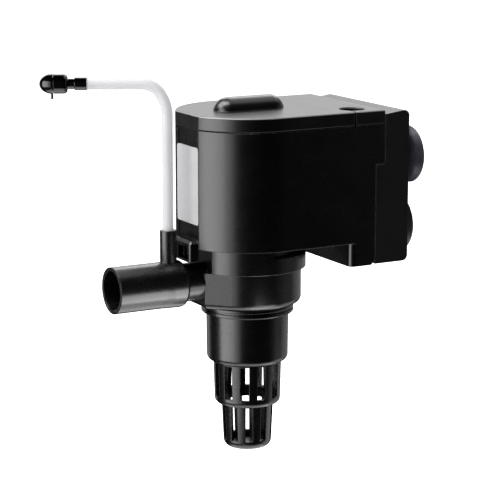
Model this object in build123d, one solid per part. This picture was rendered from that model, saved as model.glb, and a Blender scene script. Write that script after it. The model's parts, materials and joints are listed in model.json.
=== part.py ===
from build123d import *
from math import acos, atan2, cos, hypot, radians, sin, sqrt, tan
import os

# Submersible aquarium pump that hangs on the glass by four suction cups.
# Millimetres. The origin lies in the plane of the cup lips, midway between the
# four cups. +X points into the glass, -X is where the water leaves, +Z is up,
# and the pump is laid out about the plane y = 0.

# ---------------------------------------------------------------- clearances
STATIC_GAP = 0.15      # between pieces that are pushed together and stay put
SLIDE_GAP = 0.3        # between bodies that pass each other
RUN_GAP = 0.05         # radial clearance of a running or turning fit
CUT = 1.0              # a cut runs this far past the face that it opens
SINK = 0.5             # a lump starts this far inside the piece that it stands on

# ---------------------------------------------------------------- suction cups
CUP_RADIUS = 12.5
CUP_HEIGHT = 6.4
CUP_RISE = 15.8        # upper and lower cups stand this far above and below the origin
UPPER_CUP_SIDE = 21.3  # half the distance between the upper cups
LOWER_CUP_SIDE = 13.6  # half the distance between the lower cups
CUP_NECK_RADIUS = 3.0
CUP_KNOB_RADIUS = 4.6
CUP_KNOB_LENGTH = 2.6
CUP_KNOB_TAPER = 1.2
CUP_LIP_LAND = 1.1     # width of the flat ring that seals on the glass
CUP_LIP_THICK = 1.0
CUP_HOLLOW = 3.2       # depth of the hollow in its middle ...
CUP_SAG = 1.3          # ... and how much less it is where the thin skirt starts
CUP_BEND = 3.0         # width of the thin skirt
CUP_SHOULDER = 2.6     # flat of the cup's back round its neck
CUP_DOME_RADIUS = 9.4  # a point that the rounded back passes through:
CUP_DOME_HEIGHT = 4.6  # distance from the cup's axis, and from the glass

# ---------------------------------------------------------------- main casing
HALF_WIDTH = 31.0      # lid, housing and bracket
REAR_TO_AXIS = 50.2    # from the housing's upper back to the rotor axis
FRONT_FLAT = 10.7      # half the width of the flat on the nose
LID_TOP_Z = 37.4
LID_HEIGHT = 6.4
BODY_HEIGHT = 57.0     # from the lid's top to the housing's bottom
LEDGE_DROP = 23.5      # from the lid's top to the step that rests on the bracket
WALL = 2.5
LID_TOP_WALL = 2.8
LID_EDGE_ROUND = 1.0
SEAM_HEIGHT = 0.55     # shadow line under the lid
SEAM_DEPTH = 0.5
SKIRT_DEPTH = 10.2
SKIRT_LENGTH = 12.2
SKIRT_CORNER = 2.6
SKIRT_CHAMFER = 1.8
LIP_DEPTH = 2.0        # how far the lid's rim reaches into the housing
LIP_THICK = 1.0        # of the shelf that joins the rim to the lid

# ---------------------------------------------------------------- lid features
RIDGE_RADIUS = 6.5
RIDGE_LENGTH = 33.0
RIDGE_HEIGHT = 5.6
RIDGE_OFFSET = 0.6     # ridge centre, from the rotor axis towards the glass
CORD_HOLE_RADIUS = 5.7
CORD_HOLE_BACK = 11.4  # from the lid's back edge
CORD_HOLE_EDGE = 8.6   # from the lid's side
CORD_SLIT_WIDTH = 0.9
CORD_SLIT_SHIFT = 3.4  # the slit leaves the hole this far in front of its centre
CORD_RADIUS = 3.2
GROMMET_DEPTH = 2.2    # below the lid's top
GROMMET_FLANGE = 1.5
GROMMET_GRIP = 0.3     # the flange is this much larger than the hole

# ---------------------------------------------------------------- front of the housing
POCKET_DEPTH = 0.6
POCKET_EDGE = 0.5      # rim left at each side of the label pocket
PLATE_WIDTH = 19.4
PLATE_HEIGHT = 33.0
PLATE_THICK = 0.4
PLATE_DROP = 13.9      # from the lid's top to the plate's top
PLATE_ROUND = 1.4
BLOCK_DEPTH = 4.2
BLOCK_HALF_WIDTH = 10.2
BLOCK_RISE = 3.7       # from the housing's bottom up to the catch block's top
BLOCK_HEIGHT = 9.0
BLOCK_WALL = 1.3
BLOCK_FLOOR = 0.9
BLOCK_ROUND = 1.4
BLOCK_BEVEL = 1.2
BLOCK_RIB = 2.4        # upright rib between the block's two windows
BLOCK_RIB_SHIFT = 1.6  # its middle, from y = 0 towards the far side
TONGUE_WIDTH = 1.4     # latch tongue in the near window
TONGUE_HEIGHT = 4.6

# ---------------------------------------------------------------- rear hooks
BRACKET_DEPTH = 12.0   # above the ledge
LEDGE_WIDTH = 4.5      # the bracket is this much deeper below the ledge
BRACKET_WALL = 2.5
BRACKET_TOP_SLOPE = 1.5
BRACKET_FRONT_STEP = 2.0   # the bracket's top starts this far below the lid's top
BRACKET_ROUND = 2.5
HOOK_HALF_WIDTH = 6.0
HOOK_SIDE = 14.0       # half the distance between a pair of hooks
HOOK_NECK = 4.0        # height of the neck that passes through the bracket's front
HOOK_TIP = 3.0         # how far a hook hangs down behind the bracket's front
HOOK_THICK = 2.2
HOOK_LIFT = 6.0        # lifting the pump this far frees it
UPPER_HOOK_DROP = 12.0 # from the lid's top to the top of the upper hooks
LOWER_HOOK_RISE = 13.0 # from the housing's bottom up to the top of the lower hooks

# ---------------------------------------------------------------- motor
MAGNET_RADIUS = 11.5
MAGNET_LENGTH = 27.0
WELL_GAP = 0.9
WELL_WALL = 1.3
WELL_ROOF = 2.0        # above the shaft's seat
MAGNET_RISE = 9.0      # from the housing's bottom to the magnet's
SHAFT_RADIUS = 1.5
SEAT_RADIUS = 3.6
SEAT_LENGTH = 4.0
SEAT_CROWN = 1.0       # seat left above the shaft's end
SHAFT_DROP = 1.5       # the shaft's lower end, below the chamber's floor
HUB_RADIUS = 4.0
HUB_FLANGE = 3.0       # how far the flange under the magnet stands out from the hub
HUB_FLANGE_THICK = 2.0
HUB_HEADROOM = 0.8     # between the hub's top and the well's roof
MAGNET_HEADROOM = 1.2
MAGNET_CHAMFER = 0.6
CORE_HEIGHT = 22.0
CORE_HALF_WIDTH = 22.0
CORE_POLE_GAP = 4.0    # half the slot between the two pole shoes
CORE_FRONT = 17.0      # from the rotor axis to the front of the pole shoes
LEG_INNER = 8.5        # the core's legs run from here ...
LEG_OUTER = 17.5       # ... to here, to each side of y = 0
LEG_LENGTH = 17.0
YOKE_DEPTH = 7.5
POLE_DEPTH = 2.0       # the pole shoes are this much deeper than the rotor well
BOBBIN_WALL = 1.0
BOBBIN_PLAY = 0.4      # free length at each end of a bobbin
BOBBIN_FLANGE = 5.2
WINDING_THICK = 4.4
WINDING_ROUND = 1.5
POTTING_BELOW_RIM = 4.0

# ---------------------------------------------------------------- spigot and seal
SPIGOT_RADIUS = 21.4
SPIGOT_LENGTH = 8.6
SEAL_SECTION = 1.0     # radius of the O-ring's section
SEAL_DROP = 5.6        # from the housing's bottom to the O-ring's middle
SEAL_GROOVE_DEPTH = 1.5
SEAL_GROOVE_HALF = 1.2 # half the groove's height
SPIGOT_WALL = 4.4
LUG_START = -24.0      # degrees about the rotor axis, 0 towards the glass
LUG_ANGLE = 15.0
LUG_HEIGHT = 2.4
NOTCH_START = -93.0
NOTCH_DEPTH = 4.2
NOTCH_PLAY = 1.0       # degrees left past the lug at rest

# ---------------------------------------------------------------- pump chamber
COLLAR_RADIUS = 25.4
COLLAR_HEIGHT = 11.1
VOLUTE_RADIUS = 23.4
VOLUTE_HEIGHT = 15.9
NOSE_REACH = 1.6       # the nose stands this far in front of the round wall
NOSE_HALF_WIDTH = 8.1  # flat front of the nose; its sides run tangent to the round wall
VOLUTE_ROUND = 2.6
CHAMBER_RADIUS = 19.5
CHAMBER_FLOOR = 2.5
EYE_RADIUS = 9.0
SPOKE_WIDTH = 2.2
NECK_RADIUS = 15.5
NECK_LENGTH = 11.0
NECK_WALL = 2.5
BUSH_RADIUS = 2.6      # hole in the spider
BUSH_WALL = 2.0        # of the spider round the bush
BUSH_FLOOR = 0.6       # of the bush under the shaft
BUSH_RISE = 0.4        # the bush stands this far above the chamber's floor
IMPELLER_RADIUS = 17.0
IMPELLER_DISC = 1.6
IMPELLER_GAP = 1.2     # between the housing's spigot and the impeller's disc
IMPELLER_NOSE = 0.6    # the impeller's hub is this much longer than its vanes
VANE_INSET = 0.4       # the vanes end this far inside the disc's rim
VANE_COUNT = 6
VANE_WIDTH = 1.4
VANE_HEIGHT = 8.5

# ---------------------------------------------------------------- outlet
OUTLET_DROP = 15.9     # from the housing's bottom to the outlet's axis
STUB_RADIUS = 8.3      # between the nose and the pipe
STUB_INSERT_RADIUS = 7.9   # inside the pipe
STUB_BORE = 6.7
STUB_SHOWN = 7.4       # bare stub between the nose and the pipe
STUB_INSERT = 12.8
PIPE_RADIUS = 10.0
PIPE_BORE = 8.5
PIPE_LENGTH = 32.5     # or more, where the hose seat and the socket need it
PIPE_STEP = 3.0        # from the stub's end to the step in the pipe's bore
PIPE_REAR_EDGE = 0.5   # flat left on the pipe's rounded rear end
HOSE_SEAT = 22.0       # length of the straight front stretch that a hose slides onto
SWELL_LENGTH = 3.0     # over which the pipe grows to that radius
PIPE_SWELL = 0.2       # the pipe is this much larger in radius behind the hose seat
SOCKET_RADIUS = 3.6
SOCKET_ROUND = 0.4
SOCKET_FROM_NOSE = 13.3    # or more, where the catch block needs it
SOCKET_CLEARANCE = 1.0     # least gap in front of the catch block, and behind the hose seat
SOCKET_TOP = 23.6      # above the outlet's axis
SOCKET_DEPTH = 8.0
AIR_HOLE_RADIUS = 1.2

# ---------------------------------------------------------------- air tube and valve
TUBE_RADIUS = 2.4
TUBE_TURN = 28.8       # degrees that the tube's plane is turned from -X towards +Y
# Route of the tube: distance out from the socket's axis, height above the socket's mouth.
TUBE_ROUTE = [(0.0, -SOCKET_DEPTH), (0.0, 53.8), (5.6, 62.2), (33.4, 62.2)]
SLEEVE_RADIUS = 2.7
SLEEVE_LENGTH = 5.0
VALVE_NECK_RADIUS = 2.2
VALVE_NECK_LENGTH = 3.0
VALVE_RADIUS = 4.1
VALVE_LENGTH = 5.8
VALVE_ROUND = 1.7
VALVE_WALL = 1.2
VALVE_BORE = 0.8
VALVE_PLUG = 2.5       # the cap's plug reaches this far into the body
VALVE_PLUG_WALL = 1.0
CAP_RADIUS = 4.25
CAP_LENGTH = 5.8
PIN_RADIUS = 0.5
PIN_LENGTH = 2.2

# ---------------------------------------------------------------- intake
RING_STAND = 2.2       # how far the ring stands out from the adapter
RING_HEIGHT = 4.5
RING_GROOVE = 0.6
RING_CHAMFER = 0.5
ADAPTER_WALL = 2.35    # round the pump's neck
ADAPTER_HEIGHT = 21.7
ADAPTER_DRAFT = 0.25
ADAPTER_ROUND = 2.6
ADAPTER_BORE = 13.7
ADAPTER_LIP = 1.2      # lip in the adapter's bore that the strainer stops against
ADAPTER_FOOT = 0.1     # flat left round the strainer, inside the adapter's rounded edge
STRAINER_WALL = 1.7
UPPER_RADIUS = 14.9
UPPER_HEIGHT = 19.2
UPPER_DRAFT = 0.5
SHOULDER_HEIGHT = 3.2
SHOULDER_LAND = 0.3    # flat between the upper tier's rounded edge and the lower tier
SHOULDER_ROUND = 2.5
STRAINER_CORE = 3.2    # the slots are cut from this far out
LOWER_RADIUS = 11.3
LOWER_HEIGHT = 20.0
LOWER_DRAFT = 0.9
BOTTOM_ROUND = 3.4
PLUG_LENGTH = 9.0
UPPER_SLOTS = 12
UPPER_SLOT_WIDTH = 3.9
UPPER_SLOT_TURN = -3.3
LOWER_SLOTS = 10
LOWER_SLOT_WIDTH = 3.1
LOWER_SLOT_TURN = -6.2
SLOT_END = 4.0         # from a tier's bottom to the end of its slots
SLOT_HEAD = 0.4        # from a tier's top to the top of its slots

# ---------------------------------------------------------------- derived places
BRACKET_REAR_X = -CUP_HEIGHT
BRACKET_UPPER_X = BRACKET_REAR_X - BRACKET_DEPTH
BRACKET_LOWER_X = BRACKET_UPPER_X - LEDGE_WIDTH
HOUSING_UPPER_X = BRACKET_UPPER_X - SLIDE_GAP
HOUSING_LOWER_X = BRACKET_LOWER_X - SLIDE_GAP
AXIS_X = HOUSING_UPPER_X - REAR_TO_AXIS
FLAT_REACH = sqrt(HALF_WIDTH**2 - FRONT_FLAT**2)
FLAT_X = AXIS_X - FLAT_REACH
CORD_X = HOUSING_UPPER_X - CORD_HOLE_BACK
CORD_Y = -(HALF_WIDTH - CORD_HOLE_EDGE)

LID_BOTTOM_Z = LID_TOP_Z - LID_HEIGHT
HOUSING_BOTTOM_Z = LID_TOP_Z - BODY_HEIGHT
LEDGE_Z = LID_TOP_Z - LEDGE_DROP
SKIRT_BOTTOM_Z = HOUSING_BOTTOM_Z - SKIRT_DEPTH
SPIGOT_BOTTOM_Z = HOUSING_BOTTOM_Z - SPIGOT_LENGTH
CAVITY_FLOOR_Z = HOUSING_BOTTOM_Z + WALL

COLLAR_TOP_Z = HOUSING_BOTTOM_Z - SLIDE_GAP
COLLAR_BOTTOM_Z = HOUSING_BOTTOM_Z - COLLAR_HEIGHT
VOLUTE_BOTTOM_Z = COLLAR_BOTTOM_Z - VOLUTE_HEIGHT
CHAMBER_FLOOR_Z = VOLUTE_BOTTOM_Z + CHAMBER_FLOOR
COLLAR_FLAT = sqrt(COLLAR_RADIUS**2 - FRONT_FLAT**2)
COLLAR_BORE = SPIGOT_RADIUS + 2 * SLIDE_GAP
NOSE_X = AXIS_X - VOLUTE_RADIUS - NOSE_REACH

WELL_RADIUS = MAGNET_RADIUS + WELL_GAP
WELL_OUTER = WELL_RADIUS + WELL_WALL
MAGNET_BOTTOM_Z = HOUSING_BOTTOM_Z + MAGNET_RISE
MAGNET_TOP_Z = MAGNET_BOTTOM_Z + MAGNET_LENGTH
WELL_TOP_Z = MAGNET_TOP_Z + SEAT_LENGTH + WELL_ROOF
CORE_BOTTOM_Z = (MAGNET_BOTTOM_Z + MAGNET_TOP_Z - CORE_HEIGHT) / 2
CORE_BACK_X = AXIS_X + WELL_OUTER + LEG_LENGTH + YOKE_DEPTH
LEG_BACK_X = CORE_BACK_X - YOKE_DEPTH
LEG_FRONT_X = LEG_BACK_X - LEG_LENGTH + POLE_DEPTH
POTTING_TOP_Z = LID_BOTTOM_Z - POTTING_BELOW_RIM

OUTLET_Z = HOUSING_BOTTOM_Z - OUTLET_DROP
PIPE_REAR_X = NOSE_X - STUB_SHOWN
STUB_END_X = PIPE_REAR_X - STUB_INSERT
SOCKET_ROOM = SOCKET_CLEARANCE + SOCKET_RADIUS
SOCKET_X = min(NOSE_X - SOCKET_FROM_NOSE, FLAT_X - BLOCK_DEPTH - SOCKET_ROOM)
PIPE_MOUTH_X = min(PIPE_REAR_X - PIPE_LENGTH, SOCKET_X - SOCKET_ROOM - HOSE_SEAT)
SOCKET_TOP_Z = OUTLET_Z + SOCKET_TOP
TUBE_BORE = TUBE_RADIUS + RUN_GAP

ADAPTER_SOCKET = NECK_RADIUS + STATIC_GAP
ADAPTER_RADIUS = ADAPTER_SOCKET + ADAPTER_WALL
RING_RADIUS = ADAPTER_RADIUS + RING_STAND
RING_TOP_Z = VOLUTE_BOTTOM_Z
ADAPTER_TOP_Z = RING_TOP_Z - RING_HEIGHT
ADAPTER_BOTTOM_Z = ADAPTER_TOP_Z - ADAPTER_HEIGHT
NECK_BOTTOM_Z = VOLUTE_BOTTOM_Z - NECK_LENGTH
STRAINER_TOP_Z = ADAPTER_BOTTOM_Z - SLIDE_GAP
SHOULDER_Z = STRAINER_TOP_Z - UPPER_HEIGHT
STRAINER_BOTTOM_Z = SHOULDER_Z - LOWER_HEIGHT

AXIS = Pos(AXIS_X, 0, 0)
FAR = 400.0            # larger than the whole pump


# ---------------------------------------------------------------- helpers
def slab(low, high):
    """A box between two corners."""
    size = [b - a for a, b in zip(low, high)]
    middle = [(a + b) / 2 for a, b in zip(low, high)]
    return Pos(*middle) * Box(*size)


def disc(radius, bottom, top, x=AXIS_X, y=0.0):
    """An upright cylinder."""
    return Pos(x, y, (bottom + top) / 2) * Cylinder(radius, top - bottom)


def ring(outer, inner, bottom, top):
    """An upright ring about the rotor axis."""
    return disc(outer, bottom, top) - disc(inner, bottom - CUT, top + CUT)


def rod_x(radius, start, end, y=0.0, z=0.0):
    """A cylinder along X."""
    return Pos((start + end) / 2, y, z) * (Rot(0, 90, 0) * Cylinder(radius, end - start))


def cone_x(start_radius, end_radius, start, end, y=0.0, z=0.0):
    """A cone along X, with the radius at each end."""
    return Pos((start + end) / 2, y, z) * (Rot(0, 90, 0) * Cone(start_radius, end_radius, end - start))


def lathe(points):
    """A solid turned about Z from (radius, height) points."""
    outline = make_face(Polyline(*[(r, 0, z) for r, z in points], close=True))
    return revolve(outline, Axis.Z)


def turned(points):
    """A solid turned about the rotor axis from (radius, height) points."""
    return AXIS * lathe(points)


def sector(radius, start, angle, bottom, top):
    """A wedge about the rotor axis, from the start angle on."""
    reach = radius / cos(radians(angle / 2))
    a, b = radians(start), radians(start + angle)
    corners = [(0, 0), (reach * cos(a), reach * sin(a)), (reach * cos(b), reach * sin(b))]
    wedge = make_face(Polyline(*corners, close=True))
    return Pos(AXIS_X, 0, bottom) * extrude(wedge, top - bottom)


def body_plan(back_x, inset=0.0):
    """Plan of the casing: round nose, straight sides, square back, and the front flat."""
    radius = HALF_WIDTH - inset
    back = back_x - inset
    nose = Pos(AXIS_X, 0) * Circle(radius)
    sides = Pos((AXIS_X + back) / 2, 0) * Rectangle(back - AXIS_X, 2 * radius)
    front = Pos(FLAT_X + inset - FAR / 2, 0) * Rectangle(FAR, FAR)
    return nose + sides - front


def prism(plan, bottom, top):
    return Pos(0, 0, bottom) * extrude(plan, top - bottom)


# ---------------------------------------------------------------- lid
def top_lid():
    lid = prism(body_plan(HOUSING_UPPER_X), LID_BOTTOM_Z, LID_TOP_Z)
    lid = fillet(lid.edges().group_by(Axis.Z)[-1], LID_EDGE_ROUND)
    lid -= prism(body_plan(HOUSING_UPPER_X, WALL), LID_BOTTOM_Z - CUT, LID_TOP_Z - LID_TOP_WALL)
    groove = prism(body_plan(HOUSING_UPPER_X, -SINK), LID_BOTTOM_Z - CUT, LID_BOTTOM_Z + SEAM_HEIGHT)
    lid -= groove - prism(body_plan(HOUSING_UPPER_X, SEAM_DEPTH), LID_BOTTOM_Z - CUT, LID_BOTTOM_Z + SEAM_HEIGHT)
    rim_bottom = LID_BOTTOM_Z - LIP_DEPTH
    rim = prism(body_plan(HOUSING_UPPER_X, WALL + STATIC_GAP), rim_bottom, LID_BOTTOM_Z + LIP_THICK)
    rim += prism(body_plan(HOUSING_UPPER_X, WALL - SINK), LID_BOTTOM_Z, LID_BOTTOM_Z + LIP_THICK)
    rim -= prism(body_plan(HOUSING_UPPER_X, 2 * WALL), rim_bottom - CUT, LID_TOP_Z)
    lid += rim
    lid += ridge()
    lid -= disc(CORD_HOLE_RADIUS, rim_bottom - CUT, LID_TOP_Z + CUT, CORD_X, CORD_Y)
    slit_x = CORD_X - CORD_SLIT_SHIFT
    half_slit = CORD_SLIT_WIDTH / 2
    lid -= slab((slit_x - half_slit, -HALF_WIDTH - CUT, rim_bottom - CUT),
                (slit_x + half_slit, CORD_Y, LID_TOP_Z + CUT))
    return lid


def ridge():
    """The long rounded ridge on the lid: half of a capsule that lies along X."""
    centre = AXIS_X + RIDGE_OFFSET
    half = RIDGE_LENGTH / 2 - RIDGE_RADIUS
    height = LID_TOP_Z + RIDGE_HEIGHT - RIDGE_RADIUS
    capsule = rod_x(RIDGE_RADIUS, centre - half, centre + half, 0, height)
    for end in (-half, half):
        capsule += Pos(centre + end, 0, height) * Sphere(RIDGE_RADIUS)
    above = slab((centre - FAR, -FAR, LID_TOP_Z - LID_TOP_WALL / 2), (centre + FAR, FAR, LID_TOP_Z + FAR))
    return capsule & above


def cord_grommet():
    """Rubber gland in the lid's cord hole, with a flange under the lid and a sleeve below it."""
    under = LID_TOP_Z - LID_TOP_WALL
    foot = under - GROMMET_FLANGE
    gland = disc(CORD_HOLE_RADIUS - STATIC_GAP, foot, LID_TOP_Z - GROMMET_DEPTH, CORD_X, CORD_Y)
    gland += disc(CORD_HOLE_RADIUS + GROMMET_GRIP, foot, under - RUN_GAP, CORD_X, CORD_Y)
    gland += disc(CORD_RADIUS + GROMMET_FLANGE, foot - GROMMET_FLANGE, foot, CORD_X, CORD_Y)
    return gland - disc(CORD_RADIUS, LID_BOTTOM_Z - FAR, LID_TOP_Z, CORD_X, CORD_Y)


# ---------------------------------------------------------------- housing
def motor_housing():
    housing = prism(body_plan(HOUSING_LOWER_X), HOUSING_BOTTOM_Z, LEDGE_Z)
    housing += prism(body_plan(HOUSING_UPPER_X), LEDGE_Z, LID_BOTTOM_Z)
    housing += disc(SPIGOT_RADIUS, SPIGOT_BOTTOM_Z, HOUSING_BOTTOM_Z + SINK)
    housing -= casing_cavity()
    housing += disc(WELL_OUTER, SPIGOT_BOTTOM_Z, WELL_TOP_Z)
    housing -= disc(WELL_RADIUS, SPIGOT_BOTTOM_Z - CUT, MAGNET_TOP_Z)
    housing -= disc(SEAT_RADIUS, MAGNET_TOP_Z - CUT, MAGNET_TOP_Z + SEAT_LENGTH)
    housing -= seal_groove()
    lug_span = (HOUSING_BOTTOM_Z - LUG_HEIGHT, HOUSING_BOTTOM_Z + SINK)
    for turn in (0, 180):
        lug = sector(2 * COLLAR_FLAT, LUG_START + turn, LUG_ANGLE, *lug_span)
        housing += lug & ring(COLLAR_FLAT - SLIDE_GAP, SPIGOT_RADIUS - SINK, *lug_span)
    housing += skirt()
    housing += catch_block()
    housing -= label_pocket()
    for side in (-HOOK_SIDE, HOOK_SIDE):
        housing += hook(HOUSING_UPPER_X, side, LID_TOP_Z - UPPER_HOOK_DROP)
        housing += hook(HOUSING_LOWER_X, side, HOUSING_BOTTOM_Z + LOWER_HOOK_RISE)
    return housing


def casing_cavity():
    """The space that the potting fills, open at the lid."""
    cavity = prism(body_plan(HOUSING_LOWER_X, WALL), CAVITY_FLOOR_Z, LEDGE_Z + WALL)
    cavity += prism(body_plan(HOUSING_UPPER_X, WALL), LEDGE_Z + WALL, LID_BOTTOM_Z + CUT)
    cavity += ring(SPIGOT_RADIUS - SPIGOT_WALL, WELL_OUTER, SPIGOT_BOTTOM_Z + WALL, CAVITY_FLOOR_Z + CUT)
    return cavity


def seal_groove():
    middle = HOUSING_BOTTOM_Z - SEAL_DROP
    bottom, top = middle - SEAL_GROOVE_HALF, middle + SEAL_GROOVE_HALF
    return ring(SPIGOT_RADIUS + CUT, SPIGOT_RADIUS - SEAL_GROOVE_DEPTH, bottom, top)


def skirt():
    """Open box under the housing's back, in line with its sides."""
    back = HOUSING_LOWER_X
    front = back - SKIRT_LENGTH
    bottom = SKIRT_BOTTOM_Z
    middle = (front + back) / 2
    outer = Pos(middle, 0) * Rectangle(SKIRT_LENGTH, 2 * HALF_WIDTH)
    outer = fillet(outer.vertices().group_by(Axis.X)[0], SKIRT_CORNER)
    solid = prism(outer, bottom, HOUSING_BOTTOM_Z + SINK)
    solid = chamfer(solid.edges().filter_by(Axis.Y).group_by(Axis.Z)[0].sort_by(Axis.X)[-1], SKIRT_CHAMFER)
    inside = HALF_WIDTH - WALL
    return solid - slab((front + WALL, -inside, bottom - CUT), (back - WALL, inside, HOUSING_BOTTOM_Z))


def catch_block():
    """Hollow block on the front flat that guards the joint of the chamber."""
    top = HOUSING_BOTTOM_Z + BLOCK_RISE
    bottom = top - BLOCK_HEIGHT
    front = FLAT_X - BLOCK_DEPTH
    half = BLOCK_HALF_WIDTH
    block = slab((front, -half, bottom), (FLAT_X + POCKET_DEPTH + CUT, half, top))
    block = fillet(block.edges().filter_by(Axis.Z).group_by(Axis.X)[0], BLOCK_ROUND)
    block = chamfer(block.edges().filter_by(Axis.Y).group_by(Axis.X)[0].sort_by(Axis.Z)[-1], BLOCK_BEVEL)
    rib_near, rib_far = BLOCK_RIB_SHIFT - BLOCK_RIB / 2, BLOCK_RIB_SHIFT + BLOCK_RIB / 2
    back, lintel = FLAT_X - BLOCK_WALL, top - 2 * BLOCK_WALL
    for near, far in ((-half + BLOCK_WALL, rib_near), (rib_far, half - BLOCK_WALL)):
        block -= slab((front - CUT, near, bottom + BLOCK_FLOOR), (back, far, lintel))
    tongue = slab((front + BLOCK_BEVEL, rib_near - 2 * TONGUE_WIDTH, lintel - TONGUE_HEIGHT),
                  (back + SINK, rib_near - TONGUE_WIDTH, lintel + SINK))
    under = slab((FLAT_X, -half - CUT, bottom - CUT), (FLAT_X + FAR, half + CUT, HOUSING_BOTTOM_Z))
    return block + tongue - under


def label_pocket():
    bottom = HOUSING_BOTTOM_Z + BLOCK_RISE
    half = FRONT_FLAT - POCKET_EDGE
    return slab((FLAT_X - CUT, -half, bottom), (FLAT_X + POCKET_DEPTH, half, LID_BOTTOM_Z + CUT))


def hook(face_x, side, top):
    """Hook on the housing's back that drops behind the bracket's front wall."""
    tip_x = face_x + 2 * SLIDE_GAP + BRACKET_WALL
    half = HOOK_HALF_WIDTH
    neck = slab((face_x - SINK, side - half, top - HOOK_NECK), (tip_x + HOOK_THICK, side + half, top))
    tip = slab((tip_x, side - half, top - HOOK_NECK - HOOK_TIP), (tip_x + HOOK_THICK, side + half, top))
    return neck + tip


def rating_plate():
    """Blank plate in the front pocket."""
    top = LID_TOP_Z - PLATE_DROP
    back = FLAT_X + POCKET_DEPTH
    plate = slab((back - PLATE_THICK, -PLATE_WIDTH / 2, top - PLATE_HEIGHT), (back, PLATE_WIDTH / 2, top))
    return fillet(plate.edges().filter_by(Axis.X), PLATE_ROUND)


# ---------------------------------------------------------------- motor inside
def stator_core():
    """U-shaped laminated stack whose pole shoes hold the rotor well between them."""
    top = CORE_BOTTOM_Z + CORE_HEIGHT
    front = AXIS_X - CORE_FRONT
    back = LEG_FRONT_X
    core = slab((front, -CORE_HALF_WIDTH, CORE_BOTTOM_Z), (back, CORE_HALF_WIDTH, top))
    for side in (-1, 1):
        ends = sorted((side * LEG_INNER, side * LEG_OUTER))
        core += slab((back - SINK, ends[0], CORE_BOTTOM_Z), (LEG_BACK_X + SINK, ends[1], top))
    core += slab((LEG_BACK_X, -LEG_OUTER, CORE_BOTTOM_Z), (CORE_BACK_X, LEG_OUTER, top))
    core -= disc(WELL_OUTER + STATIC_GAP, CORE_BOTTOM_Z - CUT, top + CUT)
    return core - slab((front - CUT, -CORE_POLE_GAP, CORE_BOTTOM_Z - CUT),
                       (LEG_FRONT_X + CUT, CORE_POLE_GAP, top + CUT))


def leg_sleeve(side, grow, start, end):
    """A box about one leg of the core, larger than the leg by the given amount."""
    inner, outer = LEG_INNER - grow, LEG_OUTER + grow
    low, high = sorted((side * inner, side * outer))
    return slab((start, low, CORE_BOTTOM_Z - grow), (end, high, CORE_BOTTOM_Z + CORE_HEIGHT + grow))


def coil_bobbin(side):
    start, end = LEG_FRONT_X + BOBBIN_PLAY, LEG_BACK_X - BOBBIN_PLAY
    tube = leg_sleeve(side, STATIC_GAP + BOBBIN_WALL, start, end)
    for at in (start, end - BOBBIN_WALL):
        tube += leg_sleeve(side, STATIC_GAP + BOBBIN_FLANGE, at, at + BOBBIN_WALL)
    return tube - leg_sleeve(side, STATIC_GAP, start - CUT, end + CUT)


def coil_winding(side):
    start = LEG_FRONT_X + BOBBIN_PLAY + BOBBIN_WALL
    end = LEG_BACK_X - BOBBIN_PLAY - BOBBIN_WALL
    inside = STATIC_GAP + BOBBIN_WALL
    coil = leg_sleeve(side, inside + WINDING_THICK - BOBBIN_WALL, start, end)
    coil = fillet(coil.edges().filter_by(Axis.X), WINDING_ROUND)
    return coil - leg_sleeve(side, inside, start - CUT, end + CUT)


def potting(motor_pieces):
    """Resin that fills the casing round the core and the coils."""
    resin = casing_cavity() & slab((-FAR, -FAR, -FAR), (FAR, FAR, POTTING_TOP_Z))
    resin -= disc(WELL_OUTER, SPIGOT_BOTTOM_Z, WELL_TOP_Z)
    room = BOBBIN_FLANGE + STATIC_GAP
    side = LEG_OUTER + room
    resin -= slab((AXIS_X - CORE_FRONT, -side, CORE_BOTTOM_Z - room),
                  (CORE_BACK_X, side, CORE_BOTTOM_Z + CORE_HEIGHT + room))
    for piece in motor_pieces:
        resin -= piece
    return resin


# ---------------------------------------------------------------- rotor
def upper_seat():
    """Rubber cup that holds the shaft's upper end."""
    seat = disc(SEAT_RADIUS - STATIC_GAP, MAGNET_TOP_Z + STATIC_GAP, MAGNET_TOP_Z + SEAT_LENGTH - STATIC_GAP)
    return seat - disc(SHAFT_RADIUS, MAGNET_TOP_Z - CUT, MAGNET_TOP_Z + SEAT_LENGTH - SEAT_CROWN)


def rotor_shaft():
    return disc(SHAFT_RADIUS, CHAMBER_FLOOR_Z - SHAFT_DROP, MAGNET_TOP_Z + SEAT_LENGTH - SEAT_CROWN)


def rotor_magnet():
    magnet = ring(MAGNET_RADIUS, HUB_RADIUS, MAGNET_BOTTOM_Z, MAGNET_TOP_Z - MAGNET_HEADROOM)
    return chamfer(magnet.edges().filter_by(GeomType.CIRCLE).group_by(SortBy.RADIUS)[-1], MAGNET_CHAMFER)


def rotor_hub():
    """Plastic sleeve that carries the magnet and the impeller on the shaft."""
    top = MAGNET_TOP_Z - HUB_HEADROOM
    bottom = SPIGOT_BOTTOM_Z - IMPELLER_GAP
    hub = disc(HUB_RADIUS, bottom, top)
    hub += disc(HUB_RADIUS + HUB_FLANGE, MAGNET_BOTTOM_Z - HUB_FLANGE_THICK, MAGNET_BOTTOM_Z)
    return hub - disc(SHAFT_RADIUS + RUN_GAP, bottom - CUT, top + CUT)


def impeller():
    top = SPIGOT_BOTTOM_Z - IMPELLER_GAP
    root = top - IMPELLER_DISC
    tip = root - VANE_HEIGHT
    wheel = disc(IMPELLER_RADIUS, root, top)
    vane = slab((HUB_RADIUS - SINK, -VANE_WIDTH / 2, tip),
                (IMPELLER_RADIUS - VANE_INSET, VANE_WIDTH / 2, root + SINK))
    for i in range(VANE_COUNT):
        wheel += AXIS * (Rot(0, 0, i * 360 / VANE_COUNT) * vane)
    wheel += disc(HUB_RADIUS, tip - IMPELLER_NOSE, root + SINK)
    return wheel - disc(SHAFT_RADIUS + RUN_GAP, top - FAR, top + CUT)


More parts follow.
